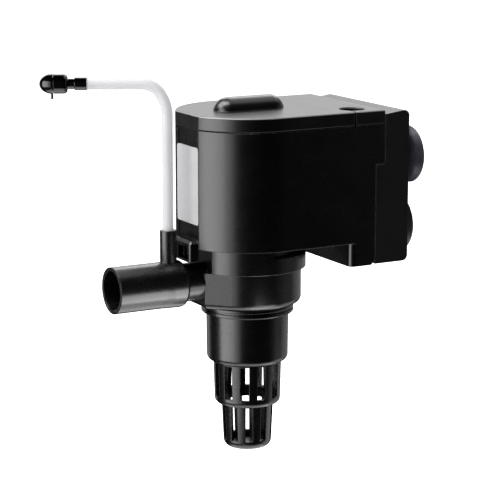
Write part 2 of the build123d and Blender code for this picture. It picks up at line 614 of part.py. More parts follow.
# ---------------------------------------------------------------- chamber
def volute_chamber():
    """Bayonet collar, volute, nose with the outlet stub, and the intake neck."""
    collar = disc(COLLAR_RADIUS, COLLAR_BOTTOM_Z, COLLAR_TOP_Z)
    collar -= slab((AXIS_X - FAR, -FAR, -FAR), (AXIS_X - COLLAR_FLAT, FAR, FAR))
    volute = prism(volute_plan(), VOLUTE_BOTTOM_Z, COLLAR_BOTTOM_Z)
    volute = fillet(volute.edges().group_by(Axis.Z)[0], VOLUTE_ROUND)
    chamber = collar + volute
    chamber += rod_x(STUB_RADIUS, PIPE_REAR_X + SLIDE_GAP, AXIS_X, 0, OUTLET_Z)
    chamber += rod_x(STUB_INSERT_RADIUS, STUB_END_X, AXIS_X, 0, OUTLET_Z)
    chamber += disc(NECK_RADIUS, NECK_BOTTOM_Z, VOLUTE_BOTTOM_Z + SINK)
    chamber -= disc(COLLAR_BORE, COLLAR_BOTTOM_Z, COLLAR_TOP_Z + CUT)
    chamber -= disc(CHAMBER_RADIUS, CHAMBER_FLOOR_Z, COLLAR_BOTTOM_Z + CUT)
    chamber -= rod_x(STUB_BORE, STUB_END_X - CUT, AXIS_X - CHAMBER_RADIUS / 2, 0, OUTLET_Z)
    chamber -= disc(EYE_RADIUS, VOLUTE_BOTTOM_Z - CUT, CHAMBER_FLOOR_Z + CUT)
    chamber -= disc(NECK_RADIUS - NECK_WALL, NECK_BOTTOM_Z - CUT, VOLUTE_BOTTOM_Z)
    chamber += lower_spider()
    for turn in (0, 180):
        chamber -= notch(NOTCH_START + turn)
    return chamber


def volute_plan():
    """Round wall, drawn out along tangents to the flat nose."""
    reach = VOLUTE_RADIUS + NOSE_REACH
    tangent = atan2(NOSE_HALF_WIDTH, reach) + acos(VOLUTE_RADIUS / hypot(reach, NOSE_HALF_WIDTH))
    back, side = VOLUTE_RADIUS * cos(tangent), VOLUTE_RADIUS * sin(tangent)
    corners = [(-reach, -NOSE_HALF_WIDTH), (-back, -side), (-back, side), (-reach, NOSE_HALF_WIDTH)]
    return Pos(AXIS_X, 0) * (Circle(VOLUTE_RADIUS) + make_face(Polyline(*corners, close=True)))


def notch(start):
    """Gap in the collar's rim that the housing's lug travels in, made of two wedges."""
    half = (LUG_START + LUG_ANGLE + NOTCH_PLAY - NOTCH_START) / 2
    bottom, top = COLLAR_TOP_Z - NOTCH_DEPTH, COLLAR_TOP_Z + CUT
    wedges = sector(2 * COLLAR_RADIUS, start, half, bottom, top)
    wedges += sector(2 * COLLAR_RADIUS, start + half, half, bottom, top)
    return wedges & ring(COLLAR_RADIUS + CUT, COLLAR_BORE - CUT, bottom, top)


def lower_spider():
    """Three spokes that hold the lower bearing in the intake eye."""
    spider = disc(BUSH_RADIUS + BUSH_WALL, VOLUTE_BOTTOM_Z, CHAMBER_FLOOR_Z)
    half = SPOKE_WIDTH / 2
    spoke = slab((0, -half, VOLUTE_BOTTOM_Z), (EYE_RADIUS + SINK, half, CHAMBER_FLOOR_Z))
    for turn in (60, 180, 300):
        spider += AXIS * (Rot(0, 0, turn) * spoke)
    return spider - disc(BUSH_RADIUS, VOLUTE_BOTTOM_Z - CUT, CHAMBER_FLOOR_Z + CUT)


def lower_bush():
    """Ceramic bush in the spider that steadies the shaft's lower end."""
    bush = disc(BUSH_RADIUS - RUN_GAP, VOLUTE_BOTTOM_Z, CHAMBER_FLOOR_Z + BUSH_RISE)
    return bush - disc(SHAFT_RADIUS + RUN_GAP, VOLUTE_BOTTOM_Z + BUSH_FLOOR, CHAMBER_FLOOR_Z + CUT)


def chamber_seal():
    """O-ring in the spigot's groove."""
    middle = HOUSING_BOTTOM_Z - SEAL_DROP
    return Pos(AXIS_X, 0, middle) * Torus(COLLAR_BORE - RUN_GAP - SEAL_SECTION, SEAL_SECTION)


# ---------------------------------------------------------------- outlet
def outlet_pipe():
    """Push-on outlet pipe with the air socket on top; a shoulder on the stub stops it."""
    rear = PIPE_RADIUS + PIPE_SWELL
    insert = STUB_INSERT_RADIUS + RUN_GAP
    step_x = STUB_END_X - PIPE_STEP
    seat_x = PIPE_MOUTH_X + HOSE_SEAT
    pipe = rod_x(rear, seat_x + SWELL_LENGTH, PIPE_REAR_X, 0, OUTLET_Z)
    pipe = fillet(pipe.edges().group_by(Axis.X)[-1], rear - insert - PIPE_REAR_EDGE)
    pipe += rod_x(PIPE_RADIUS, PIPE_MOUTH_X, seat_x, 0, OUTLET_Z)
    pipe += cone_x(PIPE_RADIUS, rear, seat_x, seat_x + SWELL_LENGTH, 0, OUTLET_Z)
    socket = disc(SOCKET_RADIUS, OUTLET_Z, SOCKET_TOP_Z, SOCKET_X)
    pipe += fillet(socket.edges().group_by(Axis.Z)[-1], SOCKET_ROUND)
    pipe -= rod_x(PIPE_BORE, PIPE_MOUTH_X - CUT, step_x, 0, OUTLET_Z)
    pipe -= rod_x(insert, step_x - CUT, PIPE_REAR_X + CUT, 0, OUTLET_Z)
    pipe -= disc(TUBE_BORE, SOCKET_TOP_Z - SOCKET_DEPTH, SOCKET_TOP_Z + CUT, SOCKET_X)
    return pipe - disc(AIR_HOLE_RADIUS, OUTLET_Z, SOCKET_TOP_Z, SOCKET_X)


# ---------------------------------------------------------------- air tube and valve
def tube_place(out, up):
    """A point in the tube's plane, from distance out and height above the socket's mouth."""
    turn = radians(TUBE_TURN)
    return (SOCKET_X - out * cos(turn), out * sin(turn), SOCKET_TOP_Z + up)


def tube_points():
    return [Vector(*tube_place(out, up)) for out, up in TUBE_ROUTE]


def arc_radii(points):
    """For each inner point the arc that 0.45 of its shorter run allows."""
    radii = []
    for before, here, after in zip(points, points[1:], points[2:]):
        shorter = min((here - before).length, (after - here).length)
        turn = (here - before).get_angle(after - here)
        radii.append(0.45 * shorter / tan(radians(turn) / 2))
    return radii


def air_tube():
    points = tube_points()
    path = FilletPolyline(*points, radius=arc_radii(points))
    section = Plane(origin=path @ 0, z_dir=path % 0) * Circle(TUBE_RADIUS)
    return sweep(section, path)


def along_valve(shape, out):
    """Places a shape turned about Z on the valve's axis, its +Z pointing outwards."""
    end = TUBE_ROUTE[-1]
    turn = radians(TUBE_TURN)
    plane = Plane(origin=tube_place(end[0] + out, end[1]), x_dir=(0, 0, -1), z_dir=(-cos(turn), sin(turn), 0))
    return plane.location * shape


def valve_body():
    """Sleeve at the tube's end, neck, and the fixed half of the valve's head."""
    head_at = SLEEVE_LENGTH + VALVE_NECK_LENGTH
    face_at = head_at + VALVE_LENGTH
    seat_at = head_at + VALVE_WALL
    inside = VALVE_RADIUS - VALVE_WALL
    body = lathe([(VALVE_BORE, 0), (SLEEVE_RADIUS, 0), (SLEEVE_RADIUS, SLEEVE_LENGTH),
                  (VALVE_NECK_RADIUS, SLEEVE_LENGTH), (VALVE_NECK_RADIUS, head_at), (VALVE_RADIUS, head_at),
                  (VALVE_RADIUS, face_at), (inside, face_at), (inside, seat_at), (VALVE_BORE, seat_at)])
    circles = body.edges().filter_by(GeomType.CIRCLE)
    shoulder = circles.filter_by(lambda e: abs(e.radius - VALVE_RADIUS) < RUN_GAP).sort_by(Axis.Z)[0]
    return along_valve(fillet(shoulder, VALVE_ROUND), 0)


def valve_cap():
    """Domed cap that turns on the valve's head to set the air flow."""
    inside = VALVE_RADIUS - VALVE_WALL - RUN_GAP
    base = SLIDE_GAP
    dome = scale(Sphere(CAP_RADIUS), by=(1, 1, CAP_LENGTH / CAP_RADIUS))
    cap = Pos(0, 0, base) * dome & slab((-FAR, -FAR, base), (FAR, FAR, FAR))
    cap += disc(inside, base - VALVE_PLUG, base + SINK, 0)
    cap -= disc(inside - VALVE_PLUG_WALL, -2 * VALVE_PLUG, 0, 0)
    return along_valve(cap, SLEEVE_LENGTH + VALVE_NECK_LENGTH + VALVE_LENGTH)


def valve_pin():
    """Small pointer under the cap's rim."""
    reach = CAP_RADIUS + PIN_LENGTH
    pin = Pos(reach / 2, 0, SLIDE_GAP + PIN_RADIUS) * (Rot(0, 90, 0) * Cylinder(PIN_RADIUS, reach))
    return along_valve(pin - Cylinder(CAP_RADIUS, FAR), SLEEVE_LENGTH + VALVE_NECK_LENGTH + VALVE_LENGTH)


# ---------------------------------------------------------------- intake
def retaining_ring():
    """Ring with two ridges that clamps the intake adapter to the neck."""
    outer, inner = RING_RADIUS, ADAPTER_SOCKET
    groove = RING_HEIGHT / 5
    top, bottom = RING_TOP_Z - STATIC_GAP, RING_TOP_Z - RING_HEIGHT + STATIC_GAP
    solid = ring(outer, inner, bottom, top)
    solid = chamfer(solid.edges().filter_by(GeomType.CIRCLE).group_by(SortBy.RADIUS)[-1], RING_CHAMFER)
    middle = (top + bottom) / 2
    return solid - ring(outer + CUT, outer - RING_GROOVE, middle - groove / 2, middle + groove / 2)


def intake_adapter():
    """Short tube that joins the pump's neck to the strainer."""
    foot = ADAPTER_RADIUS - ADAPTER_DRAFT
    stop = NECK_BOTTOM_Z - SLIDE_GAP
    lip = STRAINER_TOP_Z + PLUG_LENGTH + 2 * SLIDE_GAP
    socket = ADAPTER_SOCKET
    throat = ADAPTER_BORE - ADAPTER_LIP
    outer = turned([(0, ADAPTER_TOP_Z), (ADAPTER_RADIUS, ADAPTER_TOP_Z), (foot, ADAPTER_BOTTOM_Z), (0, ADAPTER_BOTTOM_Z)])
    outer = fillet(outer.edges().group_by(Axis.Z)[0], min(ADAPTER_ROUND, foot - UPPER_RADIUS - ADAPTER_FOOT))
    return outer - turned([(0, ADAPTER_TOP_Z + CUT), (socket, ADAPTER_TOP_Z + CUT), (socket, stop), (throat, stop),
                           (throat, lip), (ADAPTER_BORE, lip), (ADAPTER_BORE, ADAPTER_BOTTOM_Z - CUT),
                           (0, ADAPTER_BOTTOM_Z - CUT)])


def intake_strainer():
    """Two-tier basket with upright slots."""
    wall = STRAINER_WALL
    plug = ADAPTER_BORE - STATIC_GAP
    plug_top = STRAINER_TOP_Z + PLUG_LENGTH
    upper_foot, lower_foot = UPPER_RADIUS - UPPER_DRAFT, LOWER_RADIUS - LOWER_DRAFT
    shoulder_top = SHOULDER_Z + SHOULDER_HEIGHT
    upper = turned([(0, plug_top), (plug, plug_top), (plug, STRAINER_TOP_Z), (UPPER_RADIUS, STRAINER_TOP_Z),
                    (upper_foot, SHOULDER_Z), (0, SHOULDER_Z)])
    upper = fillet(upper.edges().group_by(Axis.Z)[0], min(SHOULDER_ROUND, upper_foot - LOWER_RADIUS - SHOULDER_LAND))
    lower = turned([(0, shoulder_top), (LOWER_RADIUS, shoulder_top), (LOWER_RADIUS, SHOULDER_Z),
                    (lower_foot, STRAINER_BOTTOM_Z), (0, STRAINER_BOTTOM_Z)])
    outer = upper + fillet(lower.edges().group_by(Axis.Z)[0], BOTTOM_ROUND)
    inner = turned([(0, plug_top + CUT), (plug - wall, plug_top + CUT), (plug - wall, STRAINER_TOP_Z),
                    (upper_foot - wall, shoulder_top), (LOWER_RADIUS - wall, SHOULDER_Z),
                    (lower_foot - wall, STRAINER_BOTTOM_Z + wall), (0, STRAINER_BOTTOM_Z + wall)])
    basket = outer - inner
    basket = slotted(basket, UPPER_SLOTS, UPPER_SLOT_WIDTH, UPPER_SLOT_TURN, UPPER_RADIUS + CUT,
                     SHOULDER_Z + SLOT_END - SLIDE_GAP, STRAINER_TOP_Z - SLOT_HEAD)
    return slotted(basket, LOWER_SLOTS, LOWER_SLOT_WIDTH, LOWER_SLOT_TURN, LOWER_RADIUS + SLIDE_GAP,
                   STRAINER_BOTTOM_Z + SLOT_END, SHOULDER_Z - SLOT_HEAD)


def slotted(basket, count, width, turn, reach, bottom, top):
    """Cuts a row of upright slots, evenly spaced about the rotor axis."""
    slot = slab((STRAINER_CORE, -width / 2, bottom), (reach, width / 2, top))
    for i in range(count):
        basket -= AXIS * (Rot(0, 0, turn + i * 360 / count) * slot)
    return basket


# ---------------------------------------------------------------- bracket and cups
def hanger_bracket():
    """Hollow bracket behind the housing: front wall with hook slots, sides, and the cup plate."""
    rear, upper, lower = BRACKET_REAR_X, BRACKET_UPPER_X, BRACKET_LOWER_X
    bottom = SKIRT_BOTTOM_Z + SLIDE_GAP
    top = LID_TOP_Z - BRACKET_FRONT_STEP
    side = [(lower, bottom), (rear, bottom), (rear, top + BRACKET_TOP_SLOPE), (upper, top), (upper, LEDGE_Z),
            (lower, LEDGE_Z)]
    outline = make_face(Polyline(*[(x, 0, z) for x, z in side], close=True))
    solid = extrude(outline, HALF_WIDTH, dir=(0, 1, 0), both=True)
    rear_edges = solid.edges().filter_by(Axis.Y).group_by(Axis.X)[-1]
    solid = fillet(rear_edges, BRACKET_ROUND)
    wall = BRACKET_WALL
    inside, back, ledge = HALF_WIDTH - wall, rear - wall, LEDGE_Z - wall
    solid -= slab((lower + wall, -inside, bottom + wall), (back, inside, ledge))
    solid -= slab((upper + wall, -inside, ledge - CUT), (back, inside, top - wall))
    for side_y in (-HOOK_SIDE, HOOK_SIDE):
        solid -= hook_slot(upper, side_y, LID_TOP_Z - UPPER_HOOK_DROP)
        solid -= hook_slot(lower, side_y, HOUSING_BOTTOM_Z + LOWER_HOOK_RISE)
    for y, z in cup_places():
        solid -= rod_x(CUP_NECK_RADIUS + STATIC_GAP, back - CUT, rear + CUT, y, z)
    return solid


def hook_slot(face_x, side, top):
    half = HOOK_HALF_WIDTH + SLIDE_GAP
    return slab((face_x - CUT, side - half, top - HOOK_NECK - HOOK_TIP),
                (face_x + BRACKET_WALL + RUN_GAP, side + half, top + HOOK_LIFT + SLIDE_GAP))


def cup_places():
    return [(-UPPER_CUP_SIDE, CUP_RISE), (UPPER_CUP_SIDE, CUP_RISE), (-LOWER_CUP_SIDE, -CUP_RISE),
            (LOWER_CUP_SIDE, -CUP_RISE)]


def suction_cup(y, z):
    """Soft cup turned about its own axis; its knob is pushed through the bracket's plate."""
    back = CUP_HEIGHT - STATIC_GAP
    plate = CUP_HEIGHT + BRACKET_WALL + STATIC_GAP
    knob = plate + CUP_KNOB_LENGTH
    land = CUP_RADIUS - CUP_LIP_LAND
    shell = [(0, CUP_HOLLOW), (land - CUP_BEND, CUP_HOLLOW - CUP_SAG), (land, 0), (CUP_RADIUS, 0),
             (CUP_RADIUS - STATIC_GAP, CUP_LIP_THICK)]
    stem = [(CUP_NECK_RADIUS + CUP_SHOULDER, back), (CUP_NECK_RADIUS, back), (CUP_NECK_RADIUS, plate),
            (CUP_KNOB_RADIUS, plate), (CUP_KNOB_RADIUS - CUP_KNOB_TAPER, knob), (0, knob), (0, CUP_HOLLOW)]
    inner = Polyline(*[(r, 0, h) for r, h in shell])
    dome = ThreePointArc(inner @ 1, (CUP_DOME_RADIUS, 0, CUP_DOME_HEIGHT), (stem[0][0], 0, stem[0][1]))
    outer = Polyline(*[(r, 0, h) for r, h in stem])
    cup = revolve(make_face(inner + dome + outer), Axis.Z)
    return Pos(0, y, z) * (Rot(0, -90, 0) * cup)


# ---------------------------------------------------------------- all pieces
def build():
    motor = {"stator_core": stator_core()}
    for name, side in (("near", -1), ("far", 1)):
        motor[f"coil_bobbin_{name}"] = coil_bobbin(side)
        motor[f"coil_winding_{name}"] = coil_winding(side)
    pieces = {
        "hanger_bracket": hanger_bracket(),
        "motor_housing": motor_housing(),
        "top_lid": top_lid(),
        "cord_grommet": cord_grommet(),
        "rating_plate": rating_plate(),
        **motor,
        "potting_resin": potting(motor.values()),
        "upper_shaft_seat": upper_seat(),
        "rotor_shaft": rotor_shaft(),
        "rotor_magnet": rotor_magnet(),
        "rotor_hub": rotor_hub(),
        "impeller": impeller(),
        "chamber_seal": chamber_seal(),
        "volute_chamber": volute_chamber(),
        "lower_shaft_bush": lower_bush(),
        "outlet_pipe": outlet_pipe(),
        "air_tube": air_tube(),
        "air_valve_body": valve_body(),
        "air_valve_cap": valve_cap(),
        "air_valve_pin": valve_pin(),
        "retaining_ring": retaining_ring(),
        "intake_adapter": intake_adapter(),
        "intake_strainer": intake_strainer(),
    }
    for (y, z), name in zip(cup_places(), ("upper_near", "upper_far", "lower_near", "lower_far")):
        pieces[f"suction_cup_{name}"] = suction_cup(y, z)
    return pieces


os.makedirs("parts", exist_ok=True)
for node, piece in build().items():
    export_step(piece, f"parts/{node}.step")
print("tube arc radii, mm:", [round(r, 1) for r in arc_radii(tube_points())])
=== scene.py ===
"""Looks of a submersible aquarium pump. Metres, in the frame of its CAD model: +Z up, +X into the glass."""
import json
import math

import bmesh
import bpy
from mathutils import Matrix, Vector


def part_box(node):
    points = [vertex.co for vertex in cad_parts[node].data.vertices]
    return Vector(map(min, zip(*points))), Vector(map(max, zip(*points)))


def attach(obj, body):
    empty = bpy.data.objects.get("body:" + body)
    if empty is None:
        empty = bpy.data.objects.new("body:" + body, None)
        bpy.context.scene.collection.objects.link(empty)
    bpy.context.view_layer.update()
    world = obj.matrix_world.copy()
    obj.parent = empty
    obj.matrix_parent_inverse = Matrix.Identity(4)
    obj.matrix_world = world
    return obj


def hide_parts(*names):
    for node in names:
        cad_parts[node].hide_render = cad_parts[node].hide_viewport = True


MM = 0.001

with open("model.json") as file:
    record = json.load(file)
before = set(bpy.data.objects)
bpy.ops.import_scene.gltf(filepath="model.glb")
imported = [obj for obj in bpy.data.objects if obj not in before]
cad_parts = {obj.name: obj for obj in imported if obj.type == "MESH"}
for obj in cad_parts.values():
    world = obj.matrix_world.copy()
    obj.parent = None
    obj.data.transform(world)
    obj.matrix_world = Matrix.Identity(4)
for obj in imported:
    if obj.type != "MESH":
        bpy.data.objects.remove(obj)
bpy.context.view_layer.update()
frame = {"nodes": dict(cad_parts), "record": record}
nodes = frame["nodes"]


# ---------------------------------------------------------------- camera
CAMERA_AZIMUTH = -28.77
CAMERA_ELEVATION = 11.72
CAMERA_DISTANCE = 866.7 * MM
CAMERA_AIM = Vector((-67.9, -0.6, -24.4)) * MM
CAMERA_LENS = 143.7        # focal length and sensor width in mm
CAMERA_SENSOR = 36.0
CAMERA_NEAR = 0.05
CAMERA_FAR = 50.0


def direction(azimuth, elevation):
    """Unit vector from the object towards a viewer; azimuth 0 stands on the -Y side."""
    a, e = math.radians(azimuth), math.radians(elevation)
    return Vector((math.sin(a) * math.cos(e), -math.cos(a) * math.cos(e), math.sin(e)))


def add_camera():
    data = bpy.data.cameras.new("camera")
    data.lens = CAMERA_LENS
    data.sensor_width = CAMERA_SENSOR
    data.clip_start, data.clip_end = CAMERA_NEAR, CAMERA_FAR
    camera = bpy.data.objects.new("camera", data)
    bpy.context.scene.collection.objects.link(camera)
    back = direction(CAMERA_AZIMUTH, CAMERA_ELEVATION)
    camera.location = CAMERA_AIM + back * CAMERA_DISTANCE
    camera.rotation_mode = "QUATERNION"
    camera.rotation_quaternion = (-back).to_track_quat("-Z", "Y")
    bpy.context.scene.camera = camera


# ---------------------------------------------------------------- node helpers
NOISE_RANGE = (0.3, 0.7)   # nearly all of a noise texture's values lie in this range
BEVEL_SAMPLES = 6
# The Mix node has a set of sockets for each data type, so its colour sockets are found by number.
COLOUR_A, COLOUR_B, COLOUR_OUT = 6, 7, 2


class Material:
    """A node material with short calls for the textures used here. Places are in metres."""

    def __init__(self, name):
        self.material = bpy.data.materials.new(name)
        self.material.use_nodes = True
        self.tree = self.material.node_tree
        self.shader = self.tree.nodes["Principled BSDF"]
        self.place = self.add("ShaderNodeTexCoord").outputs["Object"]
        self.relief = None

    def add(self, kind, **settings):
        node = self.tree.nodes.new(kind)
        for key, value in settings.items():
            setattr(node, key, value)
        return node

    def link(self, out, into):
        self.tree.links.new(out, into)

    def set(self, **values):
        """Sets the shader's own sockets; a name's _ stands for a space."""
        for key, value in values.items():
            self.shader.inputs[key.replace("_", " ")].default_value = value

    def noise(self, size, detail):
        """Noise whose features are about size metres across."""
        node = self.add("ShaderNodeTexNoise")
        node.inputs["Scale"].default_value = 1 / size
        node.inputs["Detail"].default_value = detail
        self.link(self.place, node.inputs["Vector"])
        return node.outputs["Fac"]

    def bands(self, size, axis, distortion=0.0):
        """Parallel bands, each about size metres wide."""
        node = self.add("ShaderNodeTexWave", bands_direction=axis)
        node.inputs["Scale"].default_value = 1 / (size * math.pi)
        node.inputs["Distortion"].default_value = distortion
        self.link(self.place, node.inputs["Vector"])
        return node.outputs["Fac"]

    def spread(self, value, low, high):
        """Maps a noise texture's value to the range low..high."""
        node = self.add("ShaderNodeMapRange")
        node.inputs["From Min"].default_value, node.inputs["From Max"].default_value = NOISE_RANGE
        node.inputs["To Min"].default_value, node.inputs["To Max"].default_value = low, high
        self.link(value, node.inputs["Value"])
        return node.outputs["Result"]

    def compute(self, operation, first, second):
        """A math node of a socket with a number or another socket."""
        node = self.add("ShaderNodeMath", operation=operation)
        self.link(first, node.inputs[0])
        if isinstance(second, float):
            node.inputs[1].default_value = second
        else:
            self.link(second, node.inputs[1])
        return node.outputs[0]

    def between(self, low, high):
        """1 between two heights in metres, and 0 elsewhere."""
        axes = self.add("ShaderNodeSeparateXYZ")
        self.link(self.place, axes.inputs[0])
        above = self.compute("GREATER_THAN", axes.outputs["Z"], low)
        below = self.compute("LESS_THAN", axes.outputs["Z"], high)
        return self.compute("MULTIPLY", above, below)

    def colour(self, value, dark, light):
        """Base colour that runs from dark to light with the value."""
        node = self.add("ShaderNodeMix", data_type="RGBA")
        node.inputs[COLOUR_A].default_value = (*dark, 1)
        node.inputs[COLOUR_B].default_value = (*light, 1)
        self.link(value, node.inputs["Factor"])
        self.link(node.outputs[COLOUR_OUT], self.shader.inputs["Base Color"])

    def clouds(self, size, dark, light, detail=3.0):
        self.colour(self.spread(self.noise(size, detail), 0.0, 1.0), dark, light)

    def gloss(self, size, low, high, detail=3.0):
        """Roughness that wanders between low and high."""
        self.link(self.spread(self.noise(size, detail), low, high), self.shader.inputs["Roughness"])

    def grain(self, size, depth, detail=3.0):
        self.bump(self.noise(size, detail), depth)

    def bump(self, value, depth):
        """Adds relief of about depth metres."""
        node = self.add("ShaderNodeBump")
        node.inputs["Distance"].default_value = depth
        self.link(value, node.inputs["Height"])
        if self.relief is not None:
            self.link(self.relief, node.inputs["Normal"])
        self.relief = node.outputs["Normal"]
        self.link(self.relief, self.shader.inputs["Normal"])

    def round_edges(self, radius):
        """Shades sharp edges as if rounded to radius metres, so that they catch the light."""
        node = self.add("ShaderNodeBevel", samples=BEVEL_SAMPLES)
        node.inputs["Radius"].default_value = radius
        self.relief = node.outputs["Normal"]

    def dull(self, mask):
        """Makes the material fully rough where the mask is 1, as a narrow groove full of shade looks."""
        rough = self.shader.inputs["Roughness"]
        self.link(self.compute("MAXIMUM", rough.links[0].from_socket, mask), rough)

    def tint(self, mask, colour):
        """Paints the base colour over where the mask is 1."""
        base = self.shader.inputs["Base Color"]
        node = self.add("ShaderNodeMix", data_type="RGBA")
        self.link(base.links[0].from_socket, node.inputs[COLOUR_A])
        node.inputs[COLOUR_B].default_value = (*colour, 1)
        self.link(mask, node.inputs["Factor"])
        self.link(node.outputs[COLOUR_OUT], base)


# ---------------------------------------------------------------- materials
BLACK = (0.0004, 0.0004, 0.00045)
NEAR_BLACK = (0.0010, 0.0010, 0.0011)
# Light grey painted along the lid's top edge as a painted highlight.
RIM_HIGHLIGHT_GREY = (0.12, 0.12, 0.12)

MOULD_CLOUDS = 14 * MM     # size of the colour clouds in a moulded plastic
MOULD_GLOSS = 7 * MM       # size of its duller and glossier patches
MOULD_UNEVEN = 0.012       # how far their roughness is from the middle
MOULD_EDGE = 0.4 * MM      # radius that its edges are shaded with
SINK_SIZE = 9 * MM
SINK_DEPTH = 0.004 * MM

LID_LIP = 2.0 * MM         # how far the lid's rim reaches down inside the housing
SEAM_HEIGHT = 0.55 * MM    # the groove under the lid
RIDGE_HEIGHT = 5.6 * MM    # how far the grip ridge stands above the lid's top face
RIM_LOW = 0.55 * MM        # how far below that face the band of painted highlight starts
RIM_HIGH = 0.12 * MM       # and ends
lid_low, lid_high = (corner[2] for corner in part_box("top_lid"))
seam_z = lid_low + LID_LIP
lid_top = lid_high - RIDGE_HEIGHT
# Each band is its lower and upper height.
LID_SEAM = (seam_z - SEAM_HEIGHT / 10, seam_z + SEAM_HEIGHT)
# The band of painted highlight along the lid's top edge.
LID_HIGHLIGHT_BAND = (lid_top - RIM_LOW, lid_top - RIM_HIGH)


def moulded(name, dark, light, rough, grain=0.5, depth=0.004, seam=None, highlight_band=None):
    """Injection-moulded plastic: faint colour clouds, uneven gloss, soft edges, slight sink, and a fine grain
    whose size and depth are in mm."""
    m = Material(name)
    m.clouds(MOULD_CLOUDS, dark, light, detail=4.0)
    m.gloss(MOULD_GLOSS, rough - MOULD_UNEVEN, rough + MOULD_UNEVEN)
    m.round_edges(MOULD_EDGE)
    m.grain(grain * MM, depth * MM, detail=2.0)
    m.grain(SINK_SIZE, SINK_DEPTH, detail=2.0)
    if seam:
        m.dull(m.between(*seam))
    # Paints a lighter grey band along the lid's top edge: a painted highlight where the rounded edge catches
    # the light.
    if highlight_band:
        m.tint(m.between(*highlight_band), RIM_HIGHLIGHT_GREY)
    return m.material


def rubber(name, tone, rough):
    m = Material(name)
    m.clouds(3 * MM, [0.7 * channel for channel in tone], tone)
    m.gloss(1.5 * MM, rough - 0.05, rough + 0.08)
    m.grain(0.35 * MM, 0.01 * MM)
    return m.material


def soft_pvc(name):
    """Plasticised PVC of the cups: dark, blue-grey, and a little light comes through thin lips."""
    m = Material(name)
    m.clouds(6 * MM, (0.020, 0.020, 0.032), (0.034, 0.034, 0.050))
    m.gloss(4 * MM, 0.40, 0.46, detail=4.0)
    m.grain(5 * MM, 0.03 * MM, detail=2.0)
    m.set(Transmission_Weight=0.12)
    return m.material


def clear_tube(name):
    """Milky, translucent tube. Its faint glow stands for the light that passes through it."""
    m = Material(name)
    m.clouds(8 * MM, (0.39, 0.39, 0.40), (0.40, 0.40, 0.41), detail=2.0)
    m.gloss(6 * MM, 0.28, 0.30, detail=2.0)
    m.grain(3 * MM, 0.0004 * MM, detail=1.0)
    m.set(Transmission_Weight=0.35, IOR=1.12, Emission_Color=(1, 1, 1, 1), Emission_Strength=0.05)
    return m.material


def blank_plate(name):
    """Satin grey plate with nothing printed on it."""
    m = Material(name)
    m.clouds(10 * MM, (0.228, 0.228, 0.234), (0.248, 0.248, 0.254))
    m.gloss(2 * MM, 0.55, 0.65)
    m.grain(0.3 * MM, 0.003 * MM)
    m.set(Specular_IOR_Level=0.12)
    return m.material


def laminated_steel(name):
    """Edges of stacked steel sheets."""
    m = Material(name)
    sheets = m.bands(0.5 * MM, "Z")
    m.colour(sheets, (0.12, 0.12, 0.13), (0.42, 0.42, 0.44))
    m.gloss(2 * MM, 0.35, 0.5)
    m.bump(sheets, 0.06 * MM)
    m.set(Metallic=1.0)
    return m.material


def wound_copper(name):
    """Turns of enamelled wire."""
    m = Material(name)
    turns = m.bands(0.35 * MM, "X", distortion=0.4)
    m.colour(turns, (0.30, 0.10, 0.04), (0.75, 0.34, 0.16))
    m.gloss(1.5 * MM, 0.22, 0.34)
    m.bump(turns, 0.12 * MM)
    m.set(Metallic=0.9)
    return m.material


def fine_ceramic(name, dark, light, rough):
    m = Material(name)
    m.clouds(1.2 * MM, dark, light, detail=4.0)
    m.gloss(0.8 * MM, rough - 0.05, rough + 0.05)
    m.grain(0.25 * MM, 0.008 * MM)
    return m.material


materials = {
    "casing": moulded("casing", BLACK, NEAR_BLACK, 0.27, grain=0.35, depth=0.003),
    "lid": moulded("lid", BLACK, (0.0016, 0.0016, 0.0017), 0.29, grain=0.6, depth=0.008,
                   seam=LID_SEAM, highlight_band=LID_HIGHLIGHT_BAND),
    "bracket": moulded("bracket", BLACK, (0.0016, 0.0016, 0.0016), 0.36, grain=0.8, depth=0.022),
    "chamber": moulded("chamber", BLACK, NEAR_BLACK, 0.27, grain=0.35, depth=0.003),
    "outlet": moulded("outlet", BLACK, NEAR_BLACK, 0.27, grain=0.35, depth=0.002),
    "intake": moulded("intake", BLACK, (0.0012, 0.0012, 0.0012), 0.27, grain=0.35, depth=0.002),
    "plate": blank_plate("plate"),
    "gland": rubber("gland", (0.004, 0.004, 0.004), 0.6),
    "seal": rubber("seal", (0.006, 0.006, 0.006), 0.5),
    "cup": soft_pvc("cup"),
    "tube": clear_tube("tube"),
    "valve": moulded("valve", BLACK, NEAR_BLACK, 0.18, grain=0.5, depth=0.002),
    "steel_stack": laminated_steel("steel_stack"),
    "bobbin": moulded("bobbin", (0.62, 0.58, 0.46), (0.70, 0.66, 0.55), 0.45),
    "copper": wound_copper("copper"),
    "resin": moulded("resin", (0.010, 0.010, 0.011), (0.02, 0.02, 0.02), 0.3, grain=2.0, depth=0.02),
    "ceramic": fine_ceramic("ceramic", (0.78, 0.77, 0.74), (0.86, 0.85, 0.82), 0.25),
    "ferrite": fine_ceramic("ferrite", (0.035, 0.035, 0.037), (0.055, 0.055, 0.057), 0.42),
    "rotor_plastic": moulded("rotor_plastic", (0.66, 0.66, 0.63), (0.74, 0.74, 0.71), 0.4),
}


# ---------------------------------------------------------------- pieces
ON_AXIS = 1e-6             # a lathe point nearer to the axis than this is on it


def finish_cad_piece(node, slot):
    """Gives a carried-over CAD piece its material."""
    piece = nodes[node]
    piece.data.materials.clear()
    piece.data.materials.append(materials[slot])


def new_piece(name, mesh, slot, body):
    """Adds a mesh or curve that rides on a body and takes its finish from a slot."""
    piece = bpy.data.objects.new(name, mesh)
    bpy.context.scene.collection.objects.link(piece)
    mesh.materials.append(materials[slot])
    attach(piece, body)
    return piece


def catmull_rom(p, q, r, s, t):
    """Value at the share t of the way from q to r, with p and s as their outer neighbours."""
    return 0.5 * (2 * q + (r - p) * t + (2 * p - 5 * q + 4 * r - s) * t**2 + (3 * q - p - 3 * r + s) * t**3)


